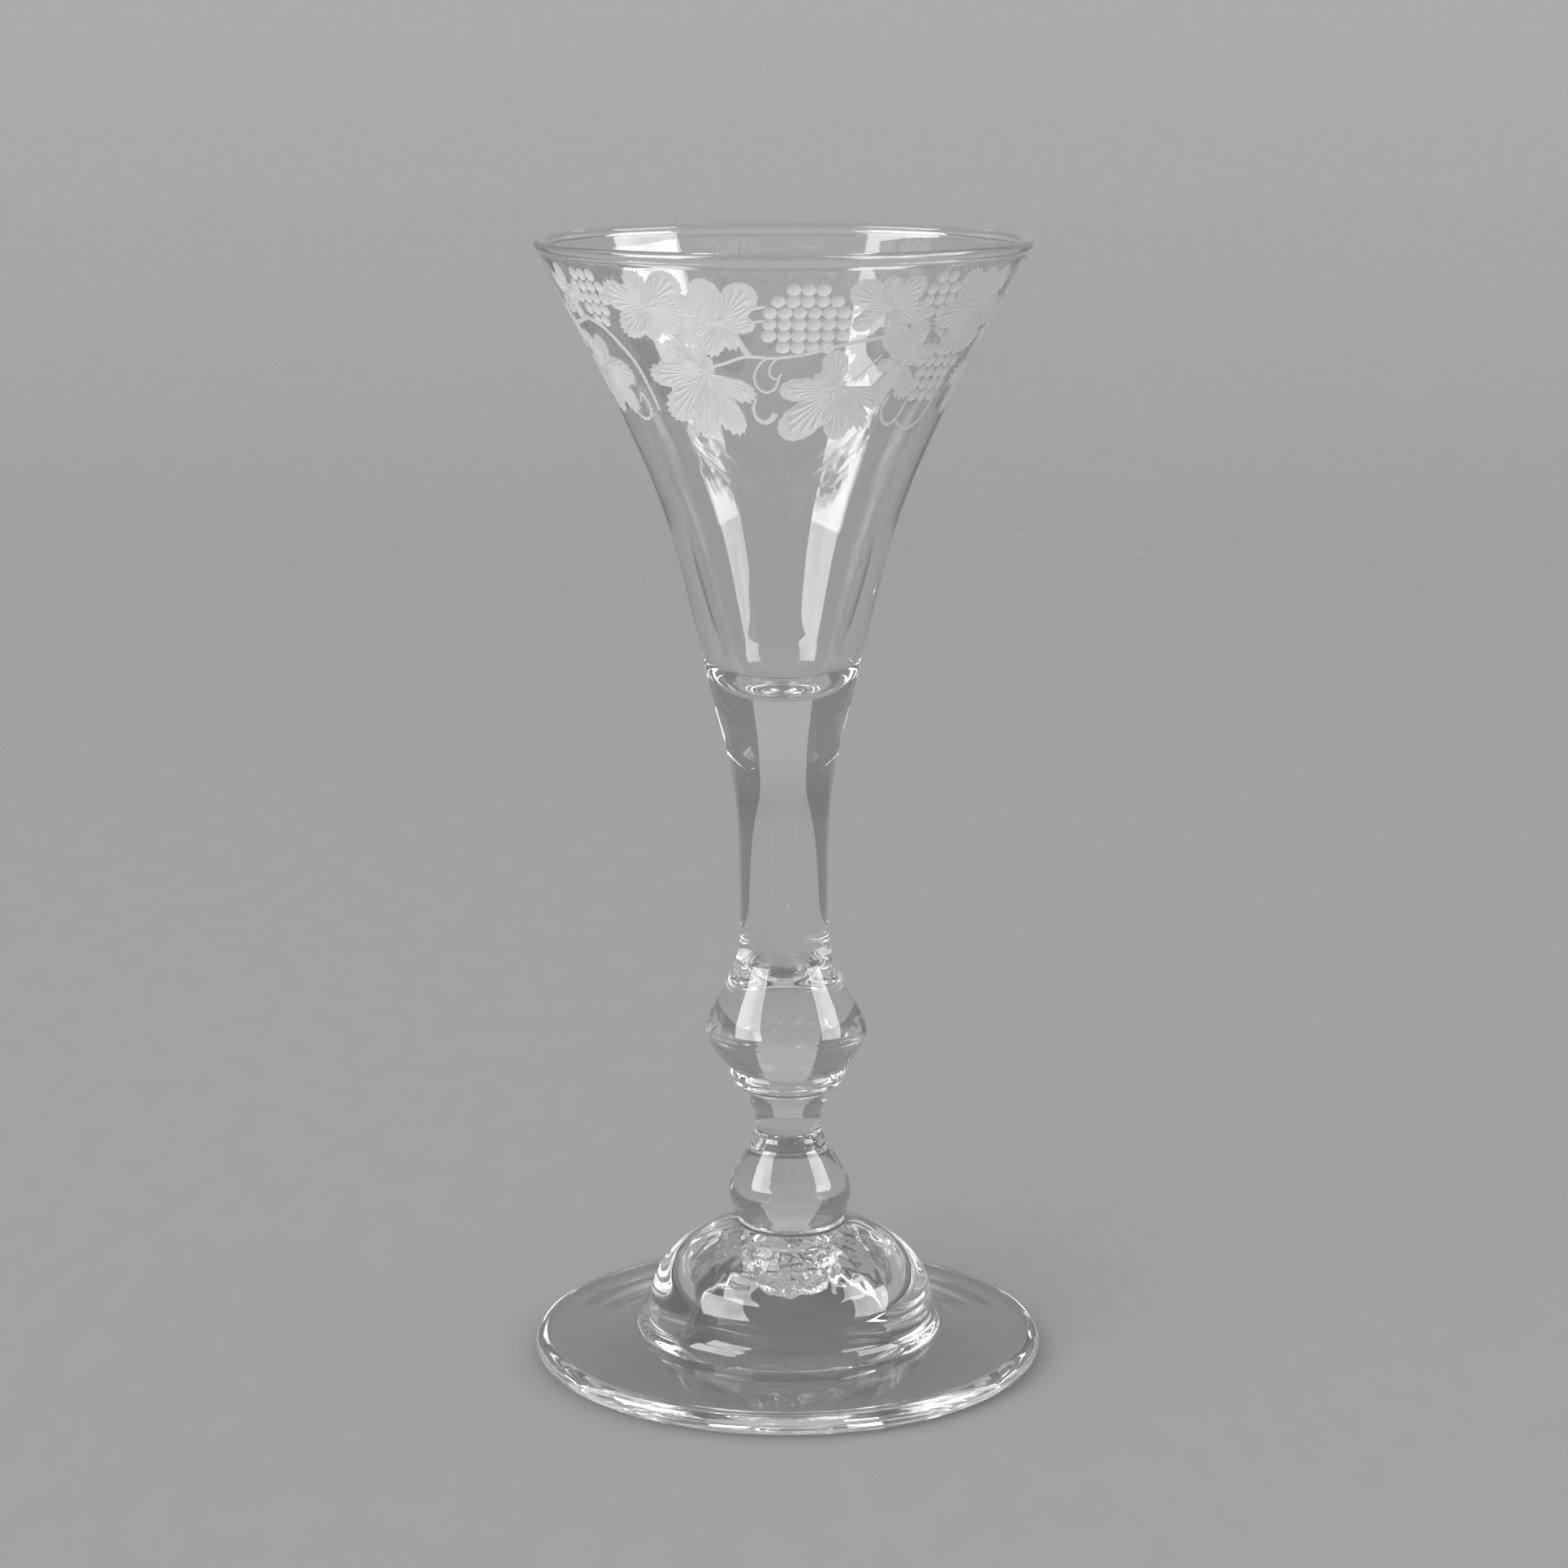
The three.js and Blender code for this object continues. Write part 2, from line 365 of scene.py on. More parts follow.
def even_out(mesh, even_normals):
    """Gives clear faces between the cuts the normals of the uncut surface."""
    clear = GLASS_SLOTS.index(CLEAR)
    normals = [(0, 0, 0)] * len(mesh.loops)
    for face in mesh.polygons:
        if face.material_index == clear and all(i in even_normals for i in face.vertices):
            for loop, vertex in zip(face.loop_indices, face.vertices):
                normals[loop] = even_normals[vertex]
    mesh.normals_split_custom_set(normals)


class Shell:
    """Vertices and faces of one glass piece, gathered in millimetres."""

    def __init__(self):
        self.points = []
        self.faces = []
        self.slots = []

    def ring(self, radius, z):
        if radius < SAME_POINT:
            self.points.append((0.0, 0.0, z))
            return [len(self.points) - 1]
        first = len(self.points)
        for side in range(SIDES):
            angle = 2 * math.pi * side / SIDES
            self.points.append((radius * math.sin(angle), -radius * math.cos(angle), z))
        return list(range(first, first + SIDES))

    def band(self, low, high, material):
        """Faces between two rings. The outline runs so that the outside is on its right."""
        slot = GLASS_SLOTS.index(material)
        for side in range(SIDES):
            after = (side + 1) % SIDES
            if len(low) == 1:
                face = (low[0], high[after], high[side])
            elif len(high) == 1:
                face = (low[side], low[after], high[0])
            else:
                face = (low[side], low[after], high[after], high[side])
            self.faces.append(face)
            self.slots.append(slot)

    def turn(self, runs):
        """Turns runs of (material, points) about the axis, as one outline."""
        last_point = None
        last_ring = None
        for material, points in runs:
            for point in points:
                if last_ring is not None and math.dist(point, last_point) < SAME_POINT:
                    continue
                ring = self.ring(*point)
                if last_ring is not None:
                    self.band(last_ring, ring, material)
                last_ring = ring
                last_point = point

    def join(self, points, faces, slots):
        """Takes in another part, and returns the number that its first point gets."""
        first = len(self.points)
        self.points += points
        self.faces += [tuple(i + first for i in face) for face in faces]
        self.slots += slots
        return first

    def seed(self, centre, half_sizes, spin):
        """A bubble of trapped air: a small closed void, facing inwards."""
        first = len(self.points)
        cos_spin, sin_spin = math.cos(spin), math.sin(spin)

        def add(x, y, z):
            x, y, z = x * half_sizes[0], y * half_sizes[1], z * half_sizes[2]
            self.points.append((centre[0] + x * cos_spin - y * sin_spin,
                                centre[1] + x * sin_spin + y * cos_spin, centre[2] + z))

        add(0, 0, -1)
        for level in range(1, SEED_LEVELS):
            tilt = math.pi * (level / SEED_LEVELS - 0.5)
            for k in range(SEED_SIDES):
                turn = 2 * math.pi * k / SEED_SIDES
                add(math.cos(tilt) * math.cos(turn), math.cos(tilt) * math.sin(turn), math.sin(tilt))
        add(0, 0, 1)
        last = len(self.points) - 1
        top = first + 1 + (SEED_LEVELS - 2) * SEED_SIDES
        for k in range(SEED_SIDES):
            after = (k + 1) % SEED_SIDES
            self.faces.append((first, first + 1 + k, first + 1 + after))
            for level in range(SEED_LEVELS - 2):
                low = first + 1 + level * SEED_SIDES
                high = low + SEED_SIDES
                self.faces.append((low + k, high + k, high + after, low + after))
            self.faces.append((top + k, last, top + after))
        self.slots += [GLASS_SLOTS.index(CLEAR)] * (len(self.faces) - len(self.slots))

    def build(self, name, node, even_normals=None):
        """Makes the piece that stands for a CAD node."""
        points = [((x + wander(z)) * MM, y * MM, z * MM) for x, y, z in self.points]
        mesh = new_mesh(name, points, self.faces, GLASS_SLOTS)
        mesh.polygons.foreach_set("material_index", self.slots)
        mesh.polygons.foreach_set("use_smooth", [True] * len(self.faces))
        mesh.set_sharp_from_angle(angle=math.radians(SHARP_EDGE))
        if even_normals is not None:
            even_out(mesh, even_normals)
        piece = link_object(name, mesh)
        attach(piece, "root")
        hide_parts(node)


def scatter_seeds(shell, count, radii, heights):
    """Small bubbles in a ring, drawn out along the way that the glass was turned."""
    chance = random.Random(f"{count} {radii} {heights}")
    for _ in range(count):
        radius = chance.uniform(*radii)
        angle = chance.uniform(0, 2 * math.pi)
        height = chance.uniform(*heights)
        size = chance.uniform(*SEED_SIZES)
        stretch = chance.uniform(*SEED_STRETCHES)
        shell.seed((radius * math.sin(angle), -radius * math.cos(angle), height),
                   (size * stretch, size, size * SEED_FLATNESS), angle)


def weld_points(shell):
    """Makes points that lie on each other one point, drops faces that this closes up, and returns the
    new number of each old point."""
    nearby = point_tree(shell.points)
    keep = list(range(len(shell.points)))
    for i, point in enumerate(shell.points):
        if keep[i] == i:
            for _, other, _ in nearby.find_range(point, WELD_REACH):
                if other > i and keep[other] == other:
                    keep[other] = i
    kept = [i for i, other in enumerate(keep) if other == i]
    fresh = {old: new for new, old in enumerate(kept)}
    faces, slots = [], []
    for face, slot in zip(shell.faces, shell.slots):
        joined = [fresh[keep[i]] for i in face]
        clean = [i for k, i in enumerate(joined) if i != joined[k - 1]]
        if len(set(clean)) > 2:
            faces.append(tuple(clean))
            slots.append(slot)
    shell.points, shell.faces, shell.slots = [shell.points[i] for i in kept], faces, slots
    return [fresh[i] for i in keep]


# Foot, boss and stem.

def ripple(point, radius, rise):
    """Unevenness of the hollow, strongest round the boss. Points off the hollow stay."""
    x, y, z = point
    out = math.hypot(x, y)
    up = z - DOME_SPRING_Z
    outside = (out / radius) ** 2 + (up / rise) ** 2 > HOLLOW_LIMIT
    if up < 0 or out <= BOSS_RADIUS + BOSS_CLEARANCE or outside:
        return point
    share = (out - BOSS_RADIUS) / (radius - BOSS_RADIUS)
    wave = noise.fractal(Vector((x, y, up)) * RIPPLE_SCALE, *RIPPLE_FRACTAL)
    onset = min(1, share * RIPPLE_ONSET, (1 - share) * RIPPLE_ONSET)
    shift = lerp(*CROWN_RIPPLE, share) * onset * wave
    grow = 1 + shift / math.hypot(out, up)
    return x * grow, y * grow, DOME_SPRING_Z + up * grow


def make_foot():
    hollow_radius = DOME_RADIUS - DOME_WALL
    ceiling_rise = CROWN_Z - DOME_SPRING_Z
    hollow_rise = ceiling_rise / math.sqrt(1 - (BOSS_SWELL_RADIUS / hollow_radius) ** 2)
    centre = (0, DOME_SPRING_Z)
    ceiling_angle = angle_of_rise(ceiling_rise, hollow_rise)
    hollow = arc(centre, hollow_radius, hollow_rise, ceiling_angle, 0, steps=24)
    underside_z = BRIM_ROOT_Z - BRIM_ROOT_THICKNESS
    underside = (hollow_radius + HOLLOW_LIP_WIDTH, underside_z)
    mouth = cove(hollow[-1], (hollow_radius, underside_z), underside, steps=16)
    half = FOOT_EDGE_THICKNESS / 2
    edge = (FOOT_RADIUS - FOOT_EDGE_ROUNDING, half)
    under_brim = line(underside, (edge[0] - STANDING_RING_WIDTH, 0), steps=11)
    rounded = arc(edge, FOOT_EDGE_ROUNDING, half, -90, 90, steps=24)
    top_angle = angle_of_rise(DOME_TOP_Z - DOME_SPRING_Z, DOME_RISE)
    dome = arc(centre, DOME_RADIUS, DOME_RISE, 0, top_angle, steps=32)
    root = cove((BRIM_ROOT_RADIUS, BRIM_ROOT_Z), (DOME_RADIUS, BRIM_ROOT_Z), dome[0], steps=16)
    shell = Shell()
    shell.turn([
        (WELD, [(0, CROWN_Z), (BOSS_RADIUS, CROWN_Z)]),
        (CLEAR, hollow + mouth + under_brim + rounded + root + dome + [(WELD_RADII[0], DOME_TOP_Z)]),
        (WELD, [(0, DOME_TOP_Z)]),
    ])
    shell.points = [ripple(point, hollow_radius, hollow_rise) for point in shell.points]
    shell.build("turned_foot", "foot")


def crumple(point):
    """Bites into glass that was broken off, less and less towards the ring where it is welded on."""
    x, y, z = point
    radius = math.hypot(x, y)
    from_weld = math.hypot(z - CROWN_Z, max(0.0, radius - BOSS_RADIUS))
    coarse = abs(noise.fractal(Vector(point) * COARSE_SCALE, *SCAR_FRACTAL))
    fine = abs(noise.noise(Vector(point) * FINE_SCALE))
    ring = 0.5 - 0.5 * math.cos(2 * math.pi * (CROWN_Z - z) / RING_PITCH)
    ragged = SCAR_ROUGHNESS * (COARSE_SHARE * coarse + FINE_SHARE * fine)
    bite = min(1.0, from_weld / CALM_REACH) * (ragged * lerp(RAGGED_SHARE, 1, ring) + RING_DEPTH * ring)
    inward = 1 - bite / max(radius, BITE_CORE_RADIUS)
    if z < CROWN_Z:
        z = min(z + bite * BITE_LIFT, CROWN_Z)
    return x * inward, y * inward, z


def make_pontil_boss():
    lip = (2 * BOSS_RADIUS - BOSS_SWELL_RADIUS, SCAR_Z)
    bulge = (BOSS_SWELL_RADIUS, (SCAR_Z + CROWN_Z) / 2)
    face = [(SCAR_RADIUS * t, SCAR_Z + SCAR_DEPTH * (1 - SCAR_FLATTENING * t))
            for t in np.linspace(0, 1, SCAR_STEPS + 1)]
    shoulder = line(face[-1], lip, steps=5)
    side = smooth([lip, bulge, (BOSS_RADIUS, CROWN_Z)], steps=12)
    shell = Shell()
    shell.turn([
        (BROKEN, face + shoulder),
        (CLEAR, side),
        (WELD, [(0, CROWN_Z)]),
    ])
    shell.points = [crumple(point) for point in shell.points]
    shell.build("turned_pontil_boss", "pontil_boss")


def tool_marks(z, low, high):
    """How deep the tool marks are at a height on the piece from low to high."""
    height = high - low
    rise = (z - low) / height
    return sum(depth * math.exp(-((rise - middle) * height / half_width) ** 2)
               for middle, depth, half_width in TOOL_MARKS)


def make_stem():
    for (node, side), low_radius, high_radius in zip(STEM_SIDES.items(), WELD_RADII, WELD_RADII[1:]):
        widest, low, high = span(node)
        reach = NECK_RADIUS if node == "neck" else widest
        middle = [(lerp(lerp(low_radius, high_radius, rise), reach, out), lerp(low, high, rise))
                  for out, rise in side]
        is_marked = node == MARKED_PIECE
        skin = smooth([(low_radius, low), *middle, (high_radius, high)],
                      TOOL_MARK_STEPS if is_marked else CURVE_STEPS)
        if is_marked:
            skin = [(radius - tool_marks(z, low, high), z) for radius, z in skin]
        shell = Shell()
        shell.turn([(WELD, [(0, low), (low_radius, low)]), (CLEAR, skin), (WELD, [(0, high)])])
        if node in SEEDS:
            scatter_seeds(shell, *SEEDS[node])
        shell.build(f"turned_{node}", node)


# The frieze on the bowl. It is laid out flat in millimetres: u is the way round at FRIEZE_RADIUS, and v
# the way up along the surface. Angles are in degrees, 0 at the front, growing to the right. The plan is
# cut open at SEAM_ANGLE. What is drawn keeps PLAN_MARGIN from its edges, the points of the uncut surface,
# in FRIEZE_ROWS rows, keep GRID_GAP from what is drawn, and the bowl's outline keeps FRIEZE_SKIN_GAP
# from the plan's low edge. WHOLE_HULL asks for faces all over the plan, and not only in its shapes.
FRIEZE_RADIUS = 30
FRIEZE_LOW_Z = 145.5
FRIEZE_HIGH_Z = 172.6
FRIEZE_ROWS = 26
FRIEZE_SKIN_GAP = 0.3
SEAM_ANGLE = -101
SEAM_SIDE = round(-SEAM_ANGLE / 360 * SIDES)
PLAN_MARGIN = 0.3
PLAN_EPSILON = 1e-5
GRID_GAP = 0.3
WHOLE_HULL = 0

# Depths of the cuts.
CUT_DEPTH = 0.09
VEIN_DEPTH = 0.2
BERRY_DEPTH = 0.2
STALK_DEPTH = CUT_DEPTH * 1.2
OVERLAP_DEPTH = 0.03

# A leaf's edge: the pitch, lengths and lean of its teeth, the blunt shape of its lobes, and a line
# inside the teeth where the cut reaches its depth. Teeth near the middle are stepped as if farther out.
TOOTH_PITCH = 0.95
TOOTH_LENGTHS = (0.12, 0.6, 1.1)
TOOTH_LEAN = 1.5
LEAST_TOOTH_RADIUS = 3.0
LAST_TOOTH_HEADING = 359
LEAF_HEART_RADIUS = 1.6
LOBE_BLUNTNESS = 0.46
INNER_SHARE = 0.9
INNER_GAP = 0.1

# A leaf's veins: one up each lobe, and strokes that fan out on both sides of it and bend outwards.
VEIN_HALF_WIDTH = 0.16
VEIN_STEP = 0.7
VEIN_REACH = 0.88
FAN_SHARES = (0.28, 0.56, 0.82)
FAN_START = 0.3
FAN_REACH = 0.86
FAN_EDGE_GAP = 0.4
FAN_BEND = 0.4

# Each leaf: angle and height of the point where its veins meet, and its lobes. A lobe is its heading in
# degrees clockwise from up, its reach in millimetres, its half width in degrees, and which length of
# tooth it has.
LEAVES = [
    (-22, 157.3, [(222, 11.3, 30, 1), (191, 11.6, 26, 1), (162, 11.2, 23, 1), (122, 8.0, 30, 1),
                  (264, 10.4, 26, 1), (300, 5.0, 30, 0), (10, 3.0, 40, 0)]),
    (17.4, 155.1, [(220, 11.0, 32, 0), (268, 8.7, 28, 0), (344, 6.8, 36, 0), (173, 9.0, 28, 0),
                   (144, 9.0, 26, 2), (108, 8.6, 28, 1), (300, 4.6, 30, 0)]),
    (36, 158.6, [(330, 7.6, 36, 0), (14, 7.8, 36, 1), (72, 6.4, 38, 1), (152, 7.4, 34, 1),
                 (204, 6.6, 34, 0), (262, 4.2, 38, 0)]),
    (-35.6, 166.8, [(350, 6.6, 42, 1), (50, 8.6, 38, 0), (92, 9.6, 30, 0), (182, 5.6, 38, 0),
                    (230, 7.8, 38, 1), (288, 8.4, 40, 1), (132, 6.0, 34, 0)]),
    (57.5, 166, [(358, 7.4, 38, 1), (314, 9.0, 38, 1), (262, 9.2, 36, 2), (206, 8.4, 38, 0),
                 (150, 8.4, 40, 1), (98, 9.0, 38, 1), (44, 9.4, 36, 2)]),
    (-16.5, 164.6, [(345, 8.0, 38, 0), (40, 8.8, 36, 0), (88, 5.6, 32, 0), (150, 5.0, 34, 1),
                    (200, 6.0, 38, 1), (250, 4.6, 36, 0), (300, 7.4, 38, 0)]),
    (27, 167, [(300, 7.6, 38, 0), (350, 5.4, 38, 0), (46, 6.8, 40, 0), (102, 7.4, 36, 1),
               (158, 5.0, 34, 0), (236, 6.0, 36, 0)]),
    (-66, 157, [(202, 9.0, 38, 1), (150, 9.0, 36, 2), (96, 8.0, 38, 1), (258, 8.2, 38, 1),
                (330, 6.6, 44, 0), (30, 6.2, 38, 0)]),
    (-67, 168, [(10, 5.0, 44, 0), (88, 5.2, 38, 1), (160, 5.0, 42, 0), (225, 5.4, 40, 1),
                (300, 5.2, 40, 1)]),
    (195, 166.6, [(328, 8.6, 42, 1), (34, 8.4, 32, 1), (98, 6.8, 36, 1), (180, 5.4, 44, 0),
                  (262, 6.4, 38, 1)]),
    (203, 158.2, [(316, 6.2, 40, 0), (26, 6.4, 40, 0), (84, 7.2, 38, 1), (146, 8.0, 36, 1),
                  (205, 8.0, 36, 1), (262, 7.2, 36, 1)]),
    (149.5, 167, [(322, 8.8, 42, 1), (38, 8.8, 42, 1), (96, 8.8, 36, 1), (180, 6.4, 46, 0),
                  (262, 9.0, 36, 1)]),
]

# Leaves beyond what the photograph shows: angle, height, reach and the way the tip points. They share
# one form, with reaches as shares, and each lobe's reach strays a little.
FURTHER_LEAVES = [
    (79, 156.6, 8.6, 200), (82, 168.4, 6.2, 20), (106, 166.2, 7.6, 30), (114, 154.6, 7.6, 170),
    (145, 156.0, 8.4, 200), (220, 161.4, 6.4, 340), (228, 154.8, 8.2, 170), (246, 165.4, 6.8, 10),
    (-84, 155.6, 7.0, 180), (-77, 162.8, 5.6, 250), (76, 163.4, 6.0, 100),
]
WHOLE_LEAF = [(0, 1.0, 38, 1), (58, 0.94, 38, 2), (114, 0.82, 36, 1), (246, 0.82, 36, 1),
              (302, 0.94, 38, 2), (180, 0.45, 60, 0)]
LOBE_SIZES = (0.93, 1.04)

# Bunches of grapes: angle and height of the middle, rows of berries, and the lean in degrees.
BUNCHES = [
    (6.2, 165.6, (3, 5, 6, 6, 6, 4), 0), (51.5, 156.6, (4, 5, 4, 4, 3), 4),
    (-54.5, 167.6, (3, 4, 4, 3, 2), 0), (97, 156.8, (3, 4, 3, 2), 6), (127, 165.6, (3, 4, 3, 2), -6),
    (172, 166.0, (3, 4, 3, 2), 0), (236, 168.2, (2, 3, 3), 0), (214, 157, (2, 2, 1), 10),
    (-87, 167.4, (3, 4, 3), 0), (41.5, 168.6, (2, 3, 3, 2), 0),
]
BERRY_RADIUS = 1.12
BERRY_SIZES = (0.9, 1.0)

# The way from berry to berry, in radii, and how much closer the rows lie.
BERRY_STEP = 1.9
ROW_STEP_SHARE = 0.9

# Rings of a berry, from its edge inwards: shares of the radius and of the depth, and the points.
BERRY_RINGS = [(1.0, 0.0, 16), (0.8, 0.5, 16), (0.45, 0.9, 8)]

# Stalks and tendrils: width in millimetres at the start and at the end, and points (angle, height).
STALK_STEPS = 6
STALKS = [
    (0.5, 0.7, [(-22, 158), (-16, 158.9), (-10, 159.9), (-2, 159.8), (6, 160.3), (13, 161.2), (20, 162),
                (28, 162.6), (36, 163)]),
    (1.0, 0.5, [(-9, 160), (-11, 161.8), (-12.2, 163.6), (-11, 165.6), (-8, 166.9), (-4, 167.4)]),
    (0.55, 0.4, [(-11.8, 164.2), (-8.4, 164.9), (-4.6, 165.3)]),
    (0.35, 0.5, [(-4, 159.8), (-6.6, 158.6), (-8, 156.8), (-7, 155.2), (-4.6, 154.6), (-2, 155.2),
                 (-0.8, 156.8)]),
    (0.35, 0.4, [(-1, 159.8), (-3.2, 158.6), (-3.4, 157.2), (-1.6, 156.6), (0, 157.4)]),
    (0.4, 1.1, [(-7.8, 153.6), (-9, 152.2), (-8, 150.6), (-5.4, 150), (-3, 150.6), (-2, 151.4)]),
    (0.4, 0.35, [(21.6, 156.2), (25, 157.9), (28.6, 160)]),
    (0.4, 0.35, [(-35, 163.8), (-31, 162.6), (-27, 161)]),
    (0.35, 0.35, [(-36, 161.6), (-32, 160.8), (-28, 159.6)]),
    (0.5, 0.6, [(36, 153.6), (34.4, 151.6), (36.6, 149.6), (40, 149.2), (43, 150.6), (44, 152.8)]),
    (0.5, 0.6, [(42, 149.8), (46, 148.6), (51, 148.2), (55.6, 149.4), (58.4, 151.8), (58.6, 154)]),
    (0.9, 0.7, [(-62, 164.4), (-56, 163.4), (-51, 161), (-47, 158), (-45.4, 154.4), (-44.6, 151)]),
    (0.5, 0.5, [(-60, 150.6), (-55, 149.4), (-50.6, 150), (-49, 152), (-51, 153.4), (-53, 152)]),
    (0.7, 0.6, [(44, 163.4), (52, 161), (62, 159.6), (70, 162), (80, 163.2), (92, 162), (104, 160.8)]),
    (0.6, 0.8, [(104, 160.8), (116, 159.6), (128, 159), (138, 161.4), (150, 162.4), (162, 160.6),
                (174, 160.8)]),
    (0.8, 0.5, [(174, 160.8), (186, 161.6), (198, 161), (210, 161.8), (222, 160.8), (236, 161.2),
                (250, 160.5), (258.3, 161.2)]),
    (0.75, 0.4, [(180.4, 169.2), (179.6, 170.5), (177.4, 171.1), (174, 170.8), (171, 170.9),
                 (169.6, 171.6), (170.6, 172.15), (173.4, 172.1)]),
    (0.5, 0.8, [(-100.3, 161.2), (-88, 162), (-78, 163), (-70, 163.4), (-62, 164.4)]),
    (0.35, 0.5, [(118, 158.4), (121, 155), (125, 153.4), (129, 154.4), (129.4, 157), (126.6, 157.6)]),
    (0.35, 0.5, [(183, 160.6), (182, 157.6), (184.4, 155.8), (187, 157), (186, 159)]),
    (0.35, 0.5, [(240, 160), (241, 157), (244.4, 155), (248, 156), (247.4, 158.4)]),
]


def off_heading(heading, middle):
    """The angle between two headings, in degrees."""
    return abs((heading - middle + 180) % 360 - 180)


def leaf_radius(lobes, heading):
    """How far a leaf reaches at a heading."""
    best = LEAF_HEART_RADIUS
    for middle, reach, width, _ in lobes:
        off = off_heading(heading, middle) / width
        if off < 1:
            best = max(best, reach * math.cos(off * math.pi / 2) ** LOBE_BLUNTNESS)
    return best


def tooth_length(lobes, heading):
    """The length of teeth on the lobe that is nearest to a heading."""
    _, teeth = min((off_heading(heading, middle), teeth) for middle, _, _, teeth in lobes)
    return TOOTH_LENGTHS[teeth]


def leaf_edges(lobes):
    """A leaf's toothed edge and the line inside its teeth, as (radius, heading)."""
    outline = []
    inner = []
    heading = 0.0
    at_tip = False
    while heading < LAST_TOOTH_HEADING:
        radius = leaf_radius(lobes, heading)
        tooth = tooth_length(lobes, heading)
        if at_tip:
            outline.append((radius, heading + TOOTH_LEAN))
        else:
            outline.append((radius - tooth, heading))
        inner.append(((radius - tooth) * INNER_SHARE - INNER_GAP, heading))
        at_tip = not at_tip
        heading += math.degrees(TOOTH_PITCH / 2 / max(radius, LEAST_TOOTH_RADIUS))
    return outline, inner


def leaf_veins(lobes):
    """The strokes of the wheel in a leaf, each a row of (radius, heading)."""
    veins = []
    for middle, reach, width, _ in lobes:
        veins.append([(r, middle) for r in np.arange(VEIN_STEP, reach * VEIN_REACH, VEIN_STEP)])
        for side in (-1, 1):
            for fan in FAN_SHARES:
                far = leaf_radius(lobes, middle + side * fan * width) * FAN_REACH
                veins.append([(r, middle + side * fan * width * min(1, FAN_BEND + (1 - FAN_BEND) * r / far))
                              for r in np.arange(far * FAN_START, far - FAN_EDGE_GAP, VEIN_STEP)])
    return [vein for vein in veins if len(vein) > 1]


def polar(radius, angle):
    return radius * math.sin(math.radians(angle)), radius * math.cos(math.radians(angle))


def rightward(points, i):
    """A step of length one to the right of a row of points, at one of them."""
    way = points[min(i + 1, len(points) - 1)] - points[max(i - 1, 0)]
    return np.array((way[1], -way[0])) / max(math.hypot(*way), SAME_POINT)


class Surface:
    """The bowl's outside, by the way v along its outline."""

    def __init__(self, outline):
        self.r = np.array([p[0] for p in outline])
        self.z = np.array([p[1] for p in outline])
        self.v = np.concatenate([[0], np.cumsum(np.hypot(np.diff(self.r), np.diff(self.z)))])

    def v_at(self, z):
        return float(np.interp(z, self.z, self.v))

    def at(self, v):
        return float(np.interp(v, self.v, self.r)), float(np.interp(v, self.v, self.z))

    def normal(self, v, reach=0.2):
        """Outward, as (radial, upward), from the slope within reach."""
        r0, z0 = self.at(v - reach)
        r1, z1 = self.at(v + reach)
        run = math.hypot(r1 - r0, z1 - z0)
        return (z1 - z0) / run, -(r1 - r0) / run


